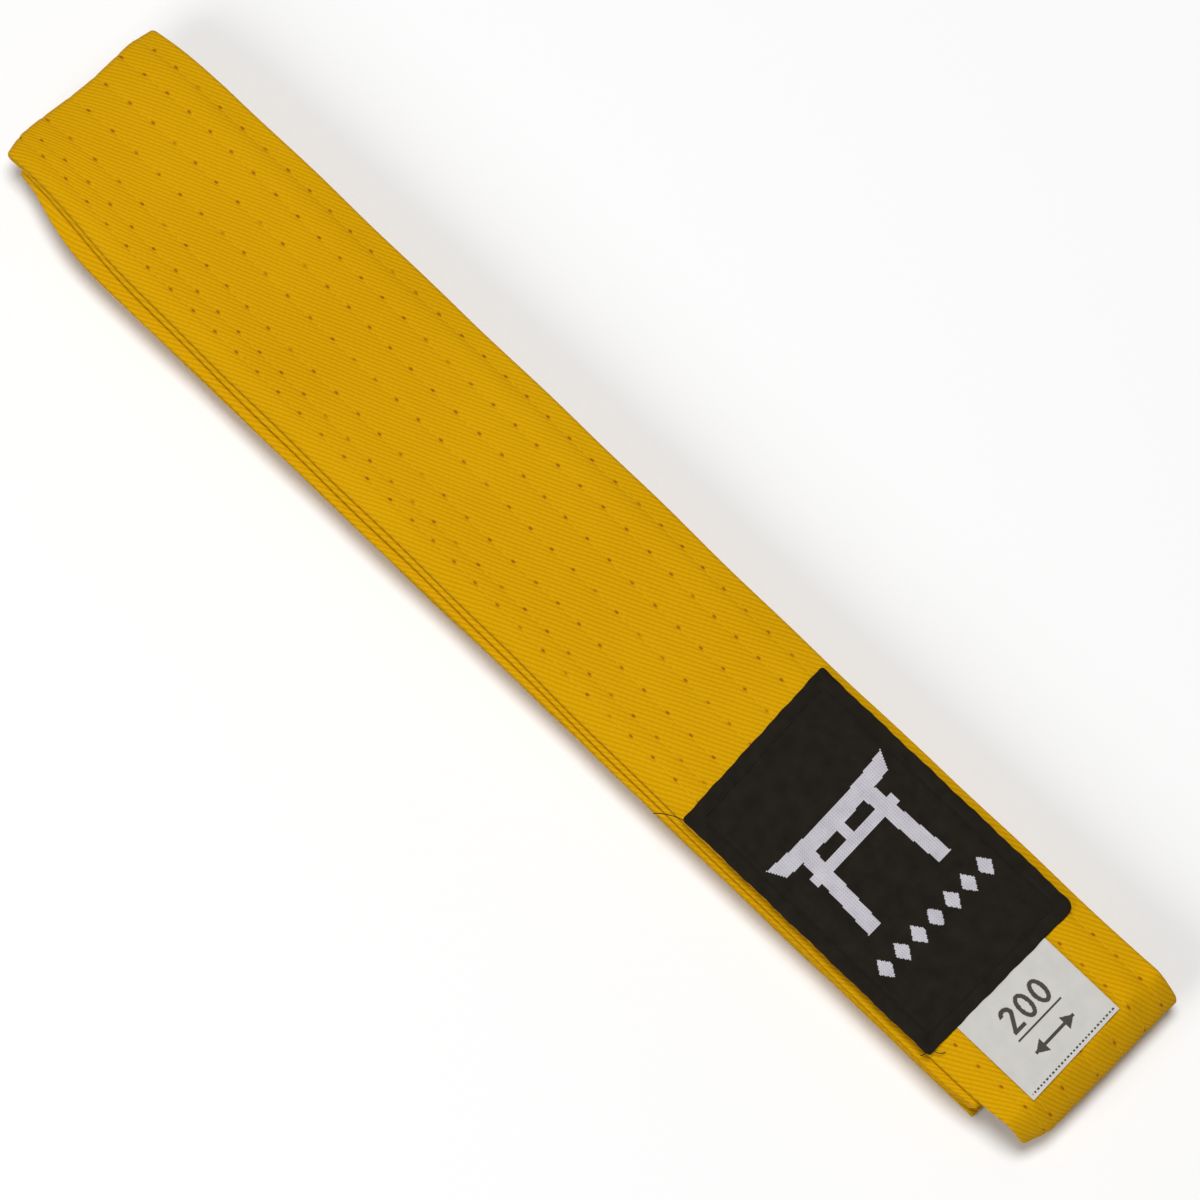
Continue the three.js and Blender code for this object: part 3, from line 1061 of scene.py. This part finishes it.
def build_label_stitching():
    holes = label_seam_path()
    points, faces, first = [], [], 0
    for a, b in zip(holes[:-1], holes[1:]):
        t = np.linspace(0.07, 0.93, 7)[:, None]
        flat = a + t * (b - a)
        x, y = label_place(flat[:, 0], flat[:, 1])
        dive = 0.22 * MM * np.abs(2 * t[:, 0] - 1) ** 6
        z = label_height(flat[:, 0], flat[:, 1]) + 0.06 * MM - dive
        piece, quads = tube(np.column_stack([x, y, z]), 0.15 * MM, 6, first)
        points.append(piece)
        faces.append(quads)
        first += len(piece)
    near_left = label_place(0.6 * MM, 0.2 * MM)
    near_right = label_place(label_length - 1.2 * MM, 1.5 * MM)
    top = label_low.z + LABEL_HEIGHT
    ends = [
        (near_left, math.radians(197), 6.0 * MM, 0.5, top - 0.1 * MM, 0.5 * MM),
        (near_right, math.radians(-20), 3.4 * MM, 1.7, top - 0.05 * MM, 0.4 * MM),
        (near_right, math.radians(-60), 2.6 * MM, -1.2, top - 0.05 * MM, 0.4 * MM),
    ]
    for start, direction, length, curl, z, fall in ends:
        x, y = loose_end(start, direction, length, curl)
        heights = z - fall * np.linspace(0, 1, len(x))
        piece, quads = tube(np.column_stack([x, y, heights]), 0.09 * MM, 6, first)
        points.append(piece)
        faces.append(quads)
        first += len(piece)
    obj = make_mesh("label_stitches", np.concatenate(points), np.concatenate(faces), black_thread)
    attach(obj, "strap_8")
    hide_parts("label_stitching")


# ---- The size tag ------------------------------------------------------------------------------

tag_low, tag_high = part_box("size_tag")
tag_middle_y = (tag_low.y + tag_high.y) / 2
tag_half = (tag_high.y - tag_low.y) / 2


def ring_stroke(p, q, centre, radii, stroke):
    """True on an upright oval outline of that stroke width."""
    outer = np.hypot((p - centre[0]) / radii[0], (q - centre[1]) / radii[1])
    inner = np.hypot((p - centre[0]) / (radii[0] - stroke), (q - centre[1]) / (radii[1] - stroke))
    return (outer < 1) & (inner > 1)


def figure_two(p, q, centre):
    """A plain numeral 2, 5.2 mm high."""
    p, q = p - centre[0], q - centre[1]
    angle = np.degrees(np.arctan2(q - 1.15, p))
    bowl = (np.abs(np.hypot(p, q - 1.15) - 1.0) < 0.42) & (angle > -35) & (angle < 172)
    stem = segment_distance(p, q, (0.8, 0.55), (-0.85, -1.9)) < 0.42
    foot = (np.abs(q + 2.18) < 0.4) & (np.abs(p) < 1.4)
    return bowl | stem | foot


def double_arrow(p, q, centre, half):
    """The sign for a length: a line with a head at each end."""
    p, q = np.abs(p - centre[0]), q - centre[1]
    line = (np.abs(q) < 0.3) & (p < half)
    head = (np.abs(q) < 1.5 * (half - p) / 2.4) & (p > half - 2.4)
    return line | head


def tag_print(p, q):
    """What is printed on the tag, in mm, p rightwards and q upwards as it is read."""
    two = figure_two(p, q, (-3.7, 3.4))
    noughts = [ring_stroke(p, q, (x, 3.4), (1.55, 2.6), 0.85) for x in (0.0, 3.7)]
    rule = (np.abs(q + 0.3) < 0.18) & (np.abs(p) < 5.6)
    arrow = double_arrow(p, q, (0.0, -3.9), 5.0)
    dots = (np.abs(q + 8.4) < 0.16) & (np.mod(p, 0.8) < 0.42) & (np.abs(p) < 10.9)
    return two | noughts[0] | noughts[1] | rule | arrow | dots


def build_tag():
    length = tag_high.x - tag_low.x
    breadth = tag_high.y - tag_low.y
    columns = int(round(breadth / TAG_GRID)) + 1
    rows = int(round(length / TAG_GRID)) + 1
    u, v = np.meshgrid(np.linspace(0, length, rows), np.linspace(0, breadth, columns),
                       indexing="ij")
    u, v = u.ravel(), v.ravel()
    shown = np.clip((u - (length - TAG_VISIBLE)) / TAG_VISIBLE, 0, 1)
    lift = 0.16 * MM * shown * shown + 0.05 * MM * wave(v, 0.019) * shown
    slant = 0.022 * (v - breadth / 2) * shown
    top = tag_low.z + 0.14 * MM + lift
    flat = {"x": tag_low.x + u + 0.3 * MM * shown - slant, "y": tag_low.y + v, "u": u, "v": v}

    def pattern(u, v):
        middle = length - TAG_VISIBLE / 2
        return tag_print((v - breadth / 2) / MM, (middle - u) / MM)

    obj = two_material_slab("printed_size_tag", flat, top, top - 0.13 * MM, rows, columns,
                            [satin, tag_ink], pattern)
    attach(obj, "strap_8")
    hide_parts("size_tag")


build_label()
build_label_stitching()
build_tag()

# ---- Floor, light and camera ------------------------------------------------------------------


FLOOR_SIZE = 6.0
WORLD_LIGHT = 0.15
CAMERA_AZIMUTH = 44.6
CAMERA_ELEVATION = 74.8
CAMERA_DISTANCE = 1.0
CAMERA_LENS = 162
CAMERA_TARGET = (5.97 * MM, 0.41 * MM)


def build_stage():
    nodes = Nodes("pale_floor")
    nodes.set(Base_Color=(0.86, 0.86, 0.86, 1), Roughness=0.9, Specular_IOR_Level=0.1)
    size = FLOOR_SIZE
    corners = [(-size, -size, 0), (size, -size, 0), (size, size, 0), (-size, size, 0)]
    floor = make_mesh("floor", corners, [[0, 1, 2, 3]], nodes.material)
    floor.location.z = cad_box[0].z - 0.05 * MM


def area_light(name, place, size, power):
    data = bpy.data.lights.new(name, "AREA")
    data.shape = "DISK"
    data.size = size
    data.energy = power
    light = bpy.data.objects.new(name, data)
    light.location = place
    light.rotation_mode = "QUATERNION"
    light.rotation_quaternion = (-Vector(place)).to_track_quat("-Z", "Y")
    bpy.context.scene.collection.objects.link(light)


def build_light():
    world = bpy.data.worlds.new("studio")
    world.use_nodes = True
    world.node_tree.nodes["Background"].inputs[0].default_value = (1, 1, 1, 1)
    world.node_tree.nodes["Background"].inputs[1].default_value = WORLD_LIGHT
    bpy.context.scene.world = world
    area_light("key", (-0.1, 0.15, 1.7), 0.7, 23)
    area_light("fill", (-0.05, -1.35, 0.95), 1.0, 12)


def build_camera():
    azimuth, elevation = math.radians(CAMERA_AZIMUTH), math.radians(CAMERA_ELEVATION)
    target = Vector((*CAMERA_TARGET, cad_box[1].z / 2))
    back = Vector((
        math.sin(azimuth) * math.cos(elevation),
        -math.cos(azimuth) * math.cos(elevation),
        math.sin(elevation),
    ))
    data = bpy.data.cameras.new("camera")
    data.sensor_width = 36
    data.lens = CAMERA_LENS
    data.clip_start = 0.05
    camera = bpy.data.objects.new("camera", data)
    camera.location = target + CAMERA_DISTANCE * back
    camera.rotation_mode = "QUATERNION"
    camera.rotation_quaternion = (-back).to_track_quat("-Z", "Y")
    bpy.context.scene.collection.objects.link(camera)
    bpy.context.scene.camera = camera


build_stage()
build_light()
build_camera()
bpy.context.scene.view_settings.view_transform = "Standard"
